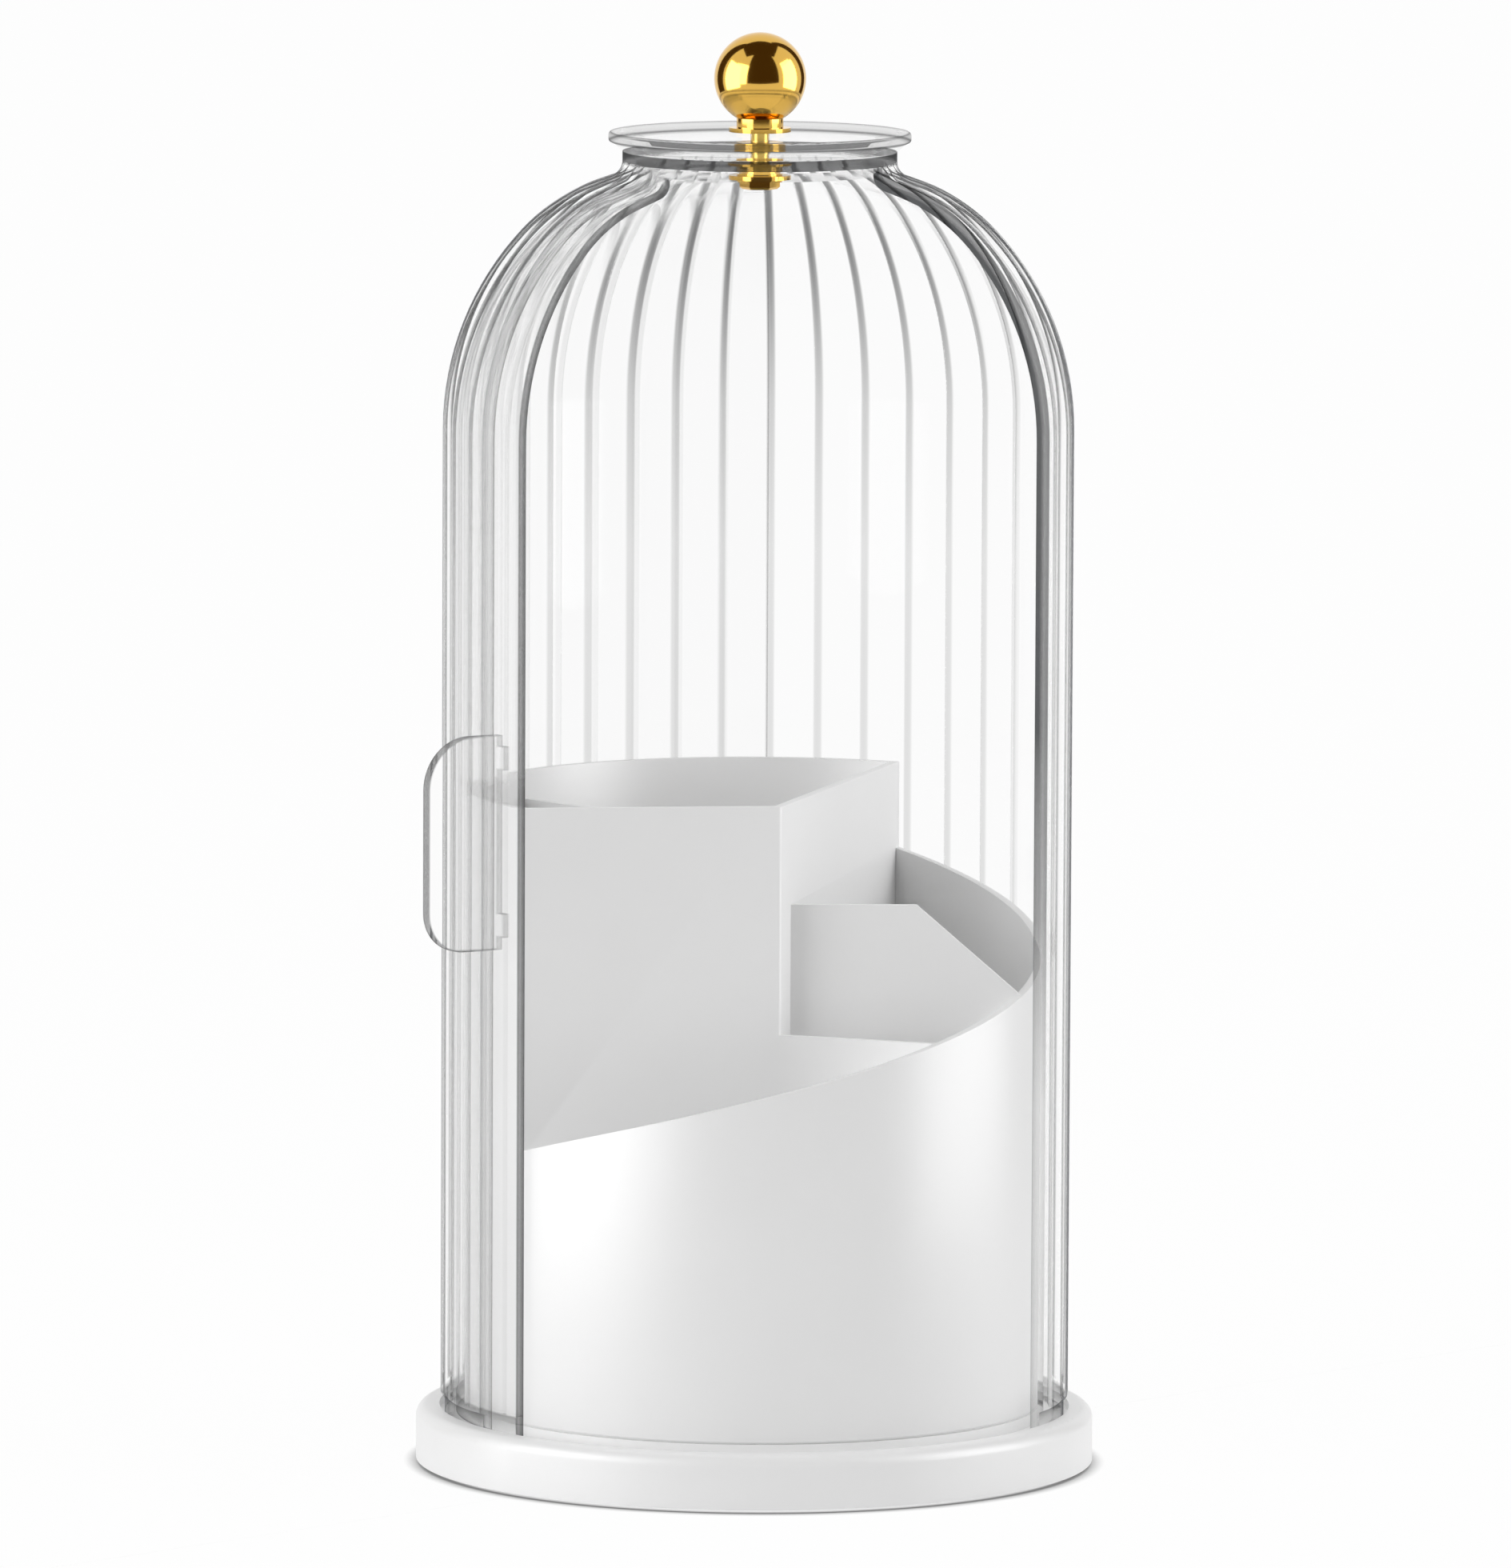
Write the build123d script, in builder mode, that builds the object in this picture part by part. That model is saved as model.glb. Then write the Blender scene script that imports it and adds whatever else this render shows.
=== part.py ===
"""Rotating makeup brush holder: a white organiser drum under a fluted clear dome with a sliding door.

The dome stands on a round turntable base. Its front is open, and a curved door inside the fixed
shell swings round the dome's own axis to close it. Everything is coaxial with Z, the table is at
Z = 0, and the open front faces -Y. Angles are azimuths in degrees, counted from +X towards +Y.
The door is drawn open. Units are millimetres.
"""

import math
import os

from build123d import *

os.makedirs("parts", exist_ok=True)

# Clearances
running_clearance = 0.08
shell_clearance = 0.4
face_clearance = 0.3
fit_clearance = 0.05
groove_clearance = 0.3

# Dome: one meridian, shared by the fixed shell and the door
dome_radius = 67.2
shoulder_height = 222.0
shoulder_arc = 62.0
shoulder_turn = 43.0
crown_arc = 41.0
neck_radius = 29.2
neck_shelf = 4.4
neck_fillet = 3.5
neck_rise = 4.5
neck_plate = 2.2
shell_wall = 2.9
shell_foot_wall = 2.0
foot_lip_height = 4.0

# Flutes: grooves along the meridians, between smooth panels
flute_count = 40
flute_depth = 0.75
flute_half_width = 1.1
flute_first = 87.7
flute_foot_height = 15.2
flute_top_margin = 1.4
flute_overcut = 0.4
flute_edge_margin = 1.2

# Front opening and door
opening_right = -24.0
opening_left = 210.0
door_lead = 218.0
door_overlap = 2.0
door_wall = 1.8
door_plate = 1.8

# Handle: a flat D-shaped fin with two tabs through the door
handle_azimuth = 211.6
handle_length = 17.9
handle_bottom = 114.4
handle_height = 45.6
handle_thickness = 2.5
handle_top_corner = 11.0
handle_bottom_corner = 8.5
handle_tab_height = 5.0
handle_tab_inset = 2.5

# Base tray
base_rim_width = 5.0
base_rim_top = 12.3
deck_top = 13.0
base_skirt_bottom = 0.8
base_wall = 2.2
base_edge_fillet = 2.6
base_bottom_fillet = 0.8
deck_thickness = 2.2
groove_floor = 10.6

# Foot plate, feet and spindle
foot_plate_gap = 4.3
foot_plate_bottom = 0.6
foot_plate_thickness = 2.4
pad_count = 6
pad_radius = 5.0
pad_inset = 12.0
pad_recess = 0.8
spindle_radius = 6.0
spindle_top = 10.2
hub_wall = 2.6
hub_bottom = 4.6
hub_recess_radius = 11.5
washer_radius = 9.5
washer_thickness = 0.9
screw_radius = 1.75
screw_length = 8.0
screw_head_radius = 3.4
screw_head_height = 1.3
drive_width = 1.0
drive_depth = 0.7

# Ball race
ball_radius = 2.0
ball_count = 16
race_radius = 42.0
race_half_width = 4.5
race_gap = 2.2
cage_thickness = 1.1
cage_half_width = 4.0
ball_clearance = 0.12

# Organiser drum
drum_wall = 1.8
drum_floor = 2.0
drum_bottom_chamfer = 0.6
tall_height = 144.7
rim_low_height = 71.8
rim_rise_per_degree = 0.2675
rim_start = 217.0
rim_cut_lead = 25.0
rim_cut_height = 80.0
rim_cut_width = 16.0
low_partition_height = 96.0
middle_partition_height = 123.0
tall_corner = (4.5, -30.6)
tall_back_azimuth = 60.0
tall_divider_azimuth = 146.0
tall_divider_drop = 6.0
low_partition_azimuth = 313.0
middle_partition_y = -23.6
middle_partition_flat_x = 34.0
drum_screw_count = 3
drum_screw_circle = 27.0
drum_screw_start = 20.0
drum_boss_radius = 3.6
drum_boss_short = 0.1
drum_screw_radius = 1.5
drum_screw_grip = 3.3
drum_screw_head_radius = 5.2
drum_screw_head_height = 1.4

# Lid, pivot and knob
lid_overhang = 3.0
lid_plate = 2.2
lid_rise = 2.0
lid_wall = 2.4
lid_edge_fillet = 0.7
stud_radius = 2.0
stud_into_ball = 6.0
spacer_radius = 5.0
bush_radius = 4.4
bush_flange_radius = 6.0
bush_flange = 0.9
pivot_washer_radius = 6.2
pivot_washer_thickness = 0.5
nut_radius = 4.3
nut_height = 2.2
nut_crown = 0.8
nut_chamfer = 0.5
collar_top_radius = 5.0
collar_foot_radius = 6.6
collar_foot_height = 0.9
collar_height = 2.9
ball_knob_radius = 9.8

# Sizes that follow from those above
shoulder_end = math.radians(shoulder_turn)
shoulder_centre = (dome_radius - shoulder_arc, shoulder_height)
crown_centre = (
    shoulder_centre[0] + (shoulder_arc - crown_arc) * math.cos(shoulder_end),
    shoulder_centre[1] + (shoulder_arc - crown_arc) * math.sin(shoulder_end),
)
crown_end = math.acos((neck_radius + neck_shelf - crown_centre[0]) / crown_arc)
crown_turn = math.degrees(crown_end) - shoulder_turn
shelf_slope = 1 / math.tan(crown_end)
neck_corner_height = crown_centre[1] + crown_arc * math.sin(crown_end) + neck_shelf * shelf_slope
neck_top = neck_corner_height + neck_rise
shell_inner = dome_radius - shell_wall
door_outer_inset = shell_wall + shell_clearance
door_inner_inset = door_outer_inset + door_wall
door_outer = dome_radius - door_outer_inset
door_inner = dome_radius - door_inner_inset
drum_radius = door_inner - shell_clearance
shell_span = opening_left - opening_right
door_travel = 360.0 + opening_right + door_overlap - door_lead
door_trail = opening_left - door_overlap - door_travel
door_span = door_lead - door_trail
plate_under = neck_top - neck_plate
washer_bottom = plate_under - fit_clearance - pivot_washer_thickness
door_top = washer_bottom - fit_clearance
door_plate_under = door_top - door_plate
bush_flange_top = door_plate_under - face_clearance
bush_bottom = bush_flange_top - bush_flange
nut_bottom = bush_bottom - nut_height
lid_radius = neck_radius + lid_overhang
lid_plate_bottom = neck_top + lid_rise
lid_top = lid_plate_bottom + lid_plate
collar_top = lid_top + collar_height
ball_knob_centre = collar_top + math.sqrt(ball_knob_radius**2 - collar_top_radius**2)
groove_inner = door_inner - groove_clearance
groove_outer = dome_radius + groove_clearance
base_radius = groove_outer + base_rim_width
deck_under = deck_top - deck_thickness
foot_plate_radius = base_radius - base_wall - foot_plate_gap
pad_circle = foot_plate_radius - pad_inset
foot_plate_top = foot_plate_bottom + foot_plate_thickness
ball_centre = (foot_plate_top + deck_under) / 2
race_reach = race_gap / 2
spindle_bore = spindle_radius + running_clearance
hub_radius = spindle_bore + hub_wall
hub_shoulder = spindle_top - face_clearance
washer_top = spindle_top + washer_thickness
handle_reach = door_outer + handle_length
tab_low = handle_bottom + handle_tab_inset
tab_high = handle_bottom + handle_height - handle_tab_inset - handle_tab_height
drum_inner = drum_radius - drum_wall
drum_floor_top = deck_top + drum_floor


def radial_plane(azimuth, height=0.0):
    """The upright plane through the axis at an azimuth: local X points outwards, local Y up."""
    turn = math.radians(azimuth)
    outwards = (math.cos(turn), math.sin(turn), 0)
    across = (math.sin(turn), -math.cos(turn), 0)
    return Plane(origin=(0, 0, height), x_dir=outwards, z_dir=across)


def on_circle(radius, azimuth):
    """A point of the plan at a radius and an azimuth."""
    turn = math.radians(azimuth)
    return (radius * math.cos(turn), radius * math.sin(turn))


def meridian(inset, bottom, top):
    """Half of the dome's section as one line, moved inwards by inset: X is radius, Y is height."""
    neck_x = neck_radius - inset
    with BuildLine() as half_section:
        Line((dome_radius - inset, bottom), (dome_radius - inset, shoulder_height))
        CenterArc(shoulder_centre, shoulder_arc - inset, 0, shoulder_turn)
        crown = CenterArc(crown_centre, crown_arc - inset, shoulder_turn, crown_turn)
        end = crown @ 1
        corner = (neck_x, end.Y + (end.X - neck_x) * shelf_slope)
        FilletPolyline((end.X, end.Y), corner, (neck_x, top), radius=neck_fillet)
    return half_section.line


def flute_cutter(inset, top):
    """A V-shaped groove cutter that follows one meridian at azimuth zero."""
    path = radial_plane(0).from_local_coords(meridian(inset, flute_foot_height, top))
    half_width = flute_half_width * (flute_depth + flute_overcut) / flute_depth
    start = (dome_radius - inset, 0, flute_foot_height)
    with BuildPart(mode=Mode.PRIVATE) as cutter:
        with BuildSketch(Plane(origin=start, x_dir=(1, 0, 0), z_dir=(0, 0, 1))):
            with BuildLine():
                Polyline(
                    (-flute_depth, 0),
                    (flute_overcut, half_width),
                    (flute_overcut, -half_width),
                    close=True,
                )
            make_face()
        sweep(path=path)
    return cutter.part


def flute_azimuths(start, end):
    """Azimuths of the flutes that lie whole between two edges."""
    step = 360 / flute_count
    places = [flute_first + step * index for index in range(-flute_count, flute_count)]
    return [place for place in places if start + flute_edge_margin < place < end - flute_edge_margin]


def shell_section(outer_inset, inner_inset, top):
    """The face between two meridians of one shell, from the base groove up to its top plate."""
    outer = meridian(outer_inset, groove_floor, top)
    inner = meridian(inner_inset, groove_floor, top)
    with BuildLine() as outline:
        add(outer)
        add(inner)
        Line(outer @ 0, inner @ 0)
        Line(outer @ 1, inner @ 1)
    make_face(outline.edges())


def ring_sector(inner, outer, start, span):
    """A flat piece of a ring between two azimuths."""
    with BuildLine() as outline:
        far = CenterArc((0, 0), outer, start, span)
        near = CenterArc((0, 0), inner, start, span)
        Line(far @ 0, near @ 0)
        Line(far @ 1, near @ 1)
    make_face(outline.edges())


def panel(start, end):
    """The plan of a straight drum wall between two points, with round ends."""
    turn = math.degrees(math.atan2(end[1] - start[1], end[0] - start[0]))
    with Locations(((start[0] + end[0]) / 2, (start[1] + end[1]) / 2)):
        SlotCenterToCenter(math.dist(start, end), drum_wall, rotation=turn)


def rim_height(azimuth):
    """Height of the drum's spiral rim at an azimuth."""
    return rim_low_height + rim_rise_per_degree * (azimuth - rim_start)


# Foot plate: stays on the table, with the lower ball race and the hollow spindle
with BuildPart() as foot_plate:
    with BuildSketch(radial_plane(0)):
        with BuildLine():
            Polyline(
                (0, foot_plate_bottom),
                (foot_plate_radius, foot_plate_bottom),
                (foot_plate_radius, foot_plate_top),
                (race_radius + race_half_width, foot_plate_top),
                (race_radius + race_half_width, ball_centre - race_reach),
                (race_radius - race_half_width, ball_centre - race_reach),
                (race_radius - race_half_width, foot_plate_top),
                (spindle_radius, foot_plate_top),
                (spindle_radius, spindle_top),
                (0, spindle_top),
                close=True,
            )
        make_face()
        with Locations((race_radius, ball_centre)):
            Circle(ball_radius + fit_clearance, mode=Mode.SUBTRACT)
    revolve(axis=Axis.Z)
    with BuildSketch(Plane.XY.offset(spindle_top)):
        Circle(screw_radius + fit_clearance)
    extrude(amount=-screw_length, mode=Mode.SUBTRACT)
    with BuildSketch(Plane.XY.offset(foot_plate_bottom)):
        with PolarLocations(pad_circle, pad_count):
            Circle(pad_radius + fit_clearance)
    extrude(amount=pad_recess, mode=Mode.SUBTRACT)
foot_plate.part.label = "foot_plate"
export_step(foot_plate.part, "parts/foot_plate.step")

# Rubber pads: pressed into shallow pockets, the only pieces that touch the table
with BuildPart() as rubber_feet:
    with BuildSketch(Plane.XY):
        with PolarLocations(pad_circle, pad_count):
            Circle(pad_radius)
    extrude(amount=foot_plate_bottom + pad_recess)
rubber_feet.part.label = "rubber_feet"
export_step(rubber_feet.part, "parts/rubber_feet.step")

# Bearing balls and the flat cage that spaces them
with BuildPart() as bearing_balls:
    with PolarLocations(race_radius, ball_count):
        with Locations((0, 0, ball_centre)):
            Sphere(ball_radius)
bearing_balls.part.label = "bearing_balls"
export_step(bearing_balls.part, "parts/bearing_balls.step")

with BuildPart() as ball_cage:
    with BuildSketch(Plane.XY.offset(ball_centre - cage_thickness / 2)):
        Circle(race_radius + cage_half_width)
        Circle(race_radius - cage_half_width, mode=Mode.SUBTRACT)
        with PolarLocations(race_radius, ball_count):
            Circle(ball_radius + ball_clearance, mode=Mode.SUBTRACT)
    extrude(amount=cage_thickness)
ball_cage.part.label = "ball_cage"
export_step(ball_cage.part, "parts/ball_cage.step")

# Base tray: the white turntable, hollow below, with the groove that the clear shells stand in
with BuildPart() as base_tray:
    with BuildSketch(radial_plane(0)) as tray_section:
        with BuildLine():
            Polyline(
                (spindle_bore, hub_bottom),
                (hub_radius, hub_bottom),
                (hub_radius, hub_shoulder - deck_thickness),
                (hub_recess_radius + hub_wall, hub_shoulder - deck_thickness),
                (hub_recess_radius + hub_wall, deck_under),
                (race_radius - race_half_width, deck_under),
                (race_radius - race_half_width, ball_centre + race_reach),
                (race_radius + race_half_width, ball_centre + race_reach),
                (race_radius + race_half_width, deck_under),
                (groove_inner - base_wall, deck_under),
                (groove_inner - base_wall, groove_floor - base_wall),
                (base_radius - base_wall, groove_floor - base_wall),
                (base_radius - base_wall, base_skirt_bottom),
                (base_radius, base_skirt_bottom),
                (base_radius, base_rim_top),
                (groove_outer, base_rim_top),
                (groove_outer, groove_floor),
                (groove_inner, groove_floor),
                (groove_inner, deck_top),
                (hub_recess_radius, deck_top),
                (hub_recess_radius, hub_shoulder),
                (spindle_bore, hub_shoulder),
                close=True,
            )
        make_face()
        rim_corners = tray_section.vertices().group_by(Axis.X)[-1].sort_by(Axis.Y)
        fillet(rim_corners[-1], base_edge_fillet)
        fillet(rim_corners[0], base_bottom_fillet)
        with Locations((race_radius, ball_centre)):
            Circle(ball_radius + fit_clearance, mode=Mode.SUBTRACT)
    revolve(axis=Axis.Z)
    with BuildSketch(Plane.XY.offset(deck_top)):
        with PolarLocations(drum_screw_circle, drum_screw_count, start_angle=drum_screw_start):
            Circle(drum_boss_radius + fit_clearance)
    extrude(amount=-deck_thickness, mode=Mode.SUBTRACT)
base_tray.part.label = "base_tray"
export_step(base_tray.part, "parts/base_tray.step")

# Hub washer and screw: keep the turntable on the spindle, hidden under the drum
with BuildPart() as hub_washer:
    with BuildSketch(Plane.XY.offset(spindle_top)):
        Circle(washer_radius)
        Circle(screw_radius + fit_clearance, mode=Mode.SUBTRACT)
    extrude(amount=washer_thickness)
hub_washer.part.label = "hub_washer"
export_step(hub_washer.part, "parts/hub_washer.step")

with BuildPart() as hub_screw:
    with BuildSketch(Plane.XY.offset(washer_top)):
        Circle(screw_head_radius)
    extrude(amount=screw_head_height)
    with BuildSketch(Plane.XY.offset(washer_top)):
        Circle(screw_radius)
    extrude(amount=-(screw_length - washer_thickness))
    with BuildSketch(Plane.XY.offset(washer_top + screw_head_height)):
        Rectangle(screw_head_radius, drive_width)
        Rectangle(drive_width, screw_head_radius)
    extrude(amount=-drive_depth, mode=Mode.SUBTRACT)
hub_screw.part.label = "hub_screw"
export_step(hub_screw.part, "parts/hub_screw.step")

# Organiser drum: one white moulding with a tall box, falling compartments and a spiral rim
mid_wall = (drum_inner + drum_radius) / 2
rim_end = 360 + tall_back_azimuth
half_wall_turn = math.degrees(drum_wall / 2 / mid_wall)
tall_left = on_circle(mid_wall, rim_start - half_wall_turn)
tall_back = on_circle(mid_wall, tall_back_azimuth + half_wall_turn)
cut_start = rim_start - rim_cut_lead
cut_turn = rim_end + rim_cut_lead - cut_start
with BuildPart() as rim_sweep:
    with BuildLine():
        spiral = Helix(rim_rise_per_degree * 360, rim_rise_per_degree * cut_turn, mid_wall)
    with BuildSketch(Plane(origin=spiral @ 0, x_dir=(-1, 0, 0), z_dir=spiral % 0)):
        with Locations((0, rim_cut_height / 2)):
            Rectangle(rim_cut_width, rim_cut_height)
    sweep(path=spiral, is_frenet=True)
with BuildPart() as rim_cutter:
    add(rim_sweep.part.rotate(Axis.Z, cut_start).translate((0, 0, rim_height(cut_start))))
    with BuildSketch(Plane.XY.offset(drum_floor_top)):
        ring_sector(drum_inner - drum_wall, drum_radius + drum_wall, rim_start, rim_end - rim_start)
    extrude(amount=tall_height, mode=Mode.INTERSECT)

with BuildPart() as organiser_drum:
    with BuildSketch(Plane.XY.offset(deck_top)):
        Circle(drum_radius)
    extrude(amount=tall_height - deck_top)
    with BuildSketch(Plane.XY.offset(drum_floor_top)):
        Circle(drum_inner)
    extrude(amount=tall_height - drum_floor_top, mode=Mode.SUBTRACT)
    add(rim_cutter.part, mode=Mode.SUBTRACT)
    chamfer(organiser_drum.edges().group_by(Axis.Z)[0], drum_bottom_chamfer)
    with BuildSketch(Plane.XY.offset(drum_floor_top)):
        panel(tall_left, tall_corner)
        panel(tall_corner, tall_back)
    extrude(amount=tall_height - drum_floor_top)
    with BuildSketch(Plane.XY.offset(drum_floor_top)):
        panel(tall_corner, on_circle(mid_wall, tall_divider_azimuth))
    extrude(amount=tall_height - tall_divider_drop - drum_floor_top)
    with BuildSketch(Plane.XY.offset(drum_floor_top)):
        panel(tall_corner, on_circle(mid_wall, low_partition_azimuth))
    extrude(amount=low_partition_height - drum_floor_top)
    side_slope = (tall_back[0] - tall_corner[0]) / (tall_back[1] - tall_corner[1])
    side_x = tall_corner[0] + (middle_partition_y - tall_corner[1]) * side_slope
    wall_x = math.sqrt(mid_wall**2 - middle_partition_y**2)
    wall_azimuth = 360 + math.degrees(math.atan2(middle_partition_y, wall_x))
    with BuildSketch(Plane.XZ.offset(-middle_partition_y)):
        with BuildLine():
            Polyline(
                (side_x, drum_floor_top),
                (wall_x, drum_floor_top),
                (wall_x, rim_height(wall_azimuth)),
                (middle_partition_flat_x, middle_partition_height),
                (side_x, middle_partition_height),
                close=True,
            )
        make_face()
    extrude(amount=drum_wall / 2, both=True)
    with BuildSketch(Plane.XY.offset(deck_top)):
        with PolarLocations(drum_screw_circle, drum_screw_count, start_angle=drum_screw_start):
            Circle(drum_boss_radius)
    extrude(amount=-(deck_thickness - drum_boss_short))
    with BuildSketch(Plane.XY.offset(deck_under + drum_boss_short)):
        with PolarLocations(drum_screw_circle, drum_screw_count, start_angle=drum_screw_start):
            Circle(drum_screw_radius + fit_clearance)
    extrude(amount=drum_screw_grip, mode=Mode.SUBTRACT)
organiser_drum.part.label = "organiser_drum"
export_step(organiser_drum.part, "parts/organiser_drum.step")

# Drum screws: three flange-head screws up through the tray into the drum's bosses
with BuildPart() as drum_screws:
    with BuildSketch(Plane.XY.offset(deck_under)):
        with PolarLocations(drum_screw_circle, drum_screw_count, start_angle=drum_screw_start):
            Circle(drum_screw_head_radius)
    extrude(amount=-drum_screw_head_height)
    with BuildSketch(Plane.XY.offset(deck_under)):
        with PolarLocations(drum_screw_circle, drum_screw_count, start_angle=drum_screw_start):
            Circle(drum_screw_radius)
    extrude(amount=drum_screw_grip)
    with BuildSketch(Plane.XY.offset(deck_under - drum_screw_head_height)):
        with PolarLocations(drum_screw_circle, drum_screw_count, start_angle=drum_screw_start):
            Rectangle(screw_head_radius, drive_width)
            Rectangle(drive_width, screw_head_radius)
    extrude(amount=drive_depth, mode=Mode.SUBTRACT)
drum_screws.part.label = "drum_screws"
export_step(drum_screws.part, "parts/drum_screws.step")

# Fixed shell: the clear fluted dome, open at the front, whole at the neck and its top plate
with BuildPart() as fixed_shell:
    with BuildSketch(radial_plane(opening_right)):
        shell_section(0, shell_wall, neck_top)
    revolve(axis=Axis.Z, revolution_arc=shell_span)
    fixed_flute = flute_cutter(0, neck_top - flute_top_margin)
    for azimuth in flute_azimuths(opening_right, opening_left):
        add(fixed_flute.rotate(Axis.Z, azimuth), mode=Mode.SUBTRACT)
    with BuildSketch(Plane.XY.offset(plate_under)):
        Circle(neck_radius)
    extrude(amount=neck_plate)
    with BuildSketch(Plane.XY.offset(plate_under)):
        Circle(stud_radius + fit_clearance)
    extrude(amount=neck_plate, mode=Mode.SUBTRACT)
    with BuildSketch(Plane.XY.offset(groove_floor)):
        Circle(dome_radius + flute_overcut)
        Circle(shell_inner + shell_foot_wall, mode=Mode.SUBTRACT)
    extrude(amount=foot_lip_height, mode=Mode.SUBTRACT)
fixed_shell.part.label = "fixed_shell"
export_step(fixed_shell.part, "parts/fixed_shell.step")

# Door shell: the same fluted dome one clearance smaller, turning on a full disc under the neck
with BuildPart() as door_shell:
    with BuildSketch(radial_plane(door_trail)):
        shell_section(door_outer_inset, door_inner_inset, door_top)
    revolve(axis=Axis.Z, revolution_arc=door_span)
    door_flute = flute_cutter(door_outer_inset, door_top - flute_top_margin)
    for azimuth in flute_azimuths(door_trail, door_lead):
        add(door_flute.rotate(Axis.Z, azimuth), mode=Mode.SUBTRACT)
    with BuildSketch(Plane.XY.offset(door_plate_under)):
        Circle(neck_radius - door_outer_inset)
    extrude(amount=door_plate)
    with BuildSketch(Plane.XY.offset(door_plate_under)):
        Circle(bush_radius + running_clearance)
    extrude(amount=door_plate, mode=Mode.SUBTRACT)
    with BuildSketch(Plane.XY.offset(groove_floor)):
        Circle(door_outer + flute_overcut)
    extrude(amount=face_clearance, mode=Mode.SUBTRACT)
    with BuildSketch(radial_plane(handle_azimuth)):
        for tab_bottom in (tab_low, tab_high):
            with Locations(((door_inner + door_outer) / 2, tab_bottom + handle_tab_height / 2)):
                Rectangle(door_wall * 2, handle_tab_height + 2 * fit_clearance)
    extrude(amount=handle_thickness / 2 + fit_clearance, both=True, mode=Mode.SUBTRACT)
door_shell.part.label = "door_shell"
export_step(door_shell.part, "parts/door_shell.step")

# Door handle: a clear flat fin, its two tabs bonded into slots of the door
with BuildPart() as door_handle:
    with BuildSketch(radial_plane(handle_azimuth)):
        with BuildLine():
            outline = FilletPolyline(
                (door_outer, handle_bottom),
                (handle_reach, handle_bottom),
                (handle_reach, handle_bottom + handle_height),
                (door_outer, handle_bottom + handle_height),
                radius=(handle_bottom_corner, handle_top_corner),
            )
            Line(outline @ 0, outline @ 1)
        make_face()
        for tab_bottom in (tab_low, tab_high):
            with Locations(((door_inner + door_outer) / 2, tab_bottom + handle_tab_height / 2)):
                Rectangle(door_wall, handle_tab_height)
    extrude(amount=handle_thickness / 2, both=True)
door_handle.part.label = "door_handle"
export_step(door_handle.part, "parts/door_handle.step")

# Lid disc: the clear flat top, flared out from the neck
with BuildPart() as lid_disc:
    with BuildSketch(radial_plane(0)) as lid_section:
        with BuildLine():
            Polyline(
                (stud_radius + fit_clearance, lid_top),
                (lid_radius, lid_top),
                (lid_radius, lid_plate_bottom),
                (neck_radius, neck_top),
                (neck_radius - lid_wall, neck_top),
                (neck_radius - lid_wall, lid_plate_bottom),
                (stud_radius + fit_clearance, lid_plate_bottom),
                close=True,
            )
        make_face()
        fillet(lid_section.vertices().group_by(Axis.X)[-1], lid_edge_fillet)
    revolve(axis=Axis.Z)
lid_disc.part.label = "lid_disc"
export_step(lid_disc.part, "parts/lid_disc.step")

# Spacer, bush and washer: hold the lid, the neck plate and the door's disc apart on the stud
with BuildPart() as lid_spacer:
    with BuildSketch(Plane.XY.offset(neck_top)):
        Circle(spacer_radius)
        Circle(stud_radius + fit_clearance, mode=Mode.SUBTRACT)
    extrude(amount=lid_rise)
lid_spacer.part.label = "lid_spacer"
export_step(lid_spacer.part, "parts/lid_spacer.step")

with BuildPart() as pivot_bush:
    with BuildSketch(Plane.XY.offset(bush_bottom)):
        Circle(bush_flange_radius)
    extrude(amount=bush_flange)
    with BuildSketch(Plane.XY.offset(bush_bottom)):
        Circle(bush_radius)
    extrude(amount=plate_under - bush_bottom)
    with BuildSketch(Plane.XY.offset(bush_bottom)):
        Circle(stud_radius + fit_clearance)
    extrude(amount=plate_under - bush_bottom, mode=Mode.SUBTRACT)
pivot_bush.part.label = "pivot_bush"
export_step(pivot_bush.part, "parts/pivot_bush.step")

with BuildPart() as pivot_washer:
    with BuildSketch(Plane.XY.offset(washer_bottom)):
        Circle(pivot_washer_radius)
        Circle(bush_radius + running_clearance, mode=Mode.SUBTRACT)
    extrude(amount=pivot_washer_thickness)
pivot_washer.part.label = "pivot_washer"
export_step(pivot_washer.part, "parts/pivot_washer.step")

# Cap nut, stud, collar and ball: the gilt knob that clamps the top together
with BuildPart() as pivot_nut:
    with BuildSketch(Plane.XY.offset(nut_bottom)):
        RegularPolygon(radius=nut_radius, side_count=6)
    extrude(amount=nut_height)
    chamfer(pivot_nut.faces().sort_by(Axis.Z)[0].edges(), nut_chamfer)
    with BuildSketch(Plane.XY.offset(nut_bottom + nut_crown)):
        Circle(stud_radius + fit_clearance)
    extrude(amount=nut_height, mode=Mode.SUBTRACT)
pivot_nut.part.label = "pivot_nut"
export_step(pivot_nut.part, "parts/pivot_nut.step")

with BuildPart() as knob_stud:
    with BuildSketch(Plane.XY.offset(nut_bottom + nut_crown)):
        Circle(stud_radius)
    extrude(amount=collar_top + stud_into_ball - nut_bottom - nut_crown)
knob_stud.part.label = "knob_stud"
export_step(knob_stud.part, "parts/knob_stud.step")

with BuildPart() as knob_collar:
    with BuildSketch(radial_plane(0)):
        with BuildLine():
            Polyline(
                (stud_radius + fit_clearance, lid_top),
                (collar_foot_radius, lid_top),
                (collar_foot_radius, lid_top + collar_foot_height),
                (collar_top_radius, lid_top + collar_foot_height),
                (collar_top_radius, collar_top),
                (stud_radius + fit_clearance, collar_top),
                close=True,
            )
        make_face()
    revolve(axis=Axis.Z)
knob_collar.part.label = "knob_collar"
export_step(knob_collar.part, "parts/knob_collar.step")

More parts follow.
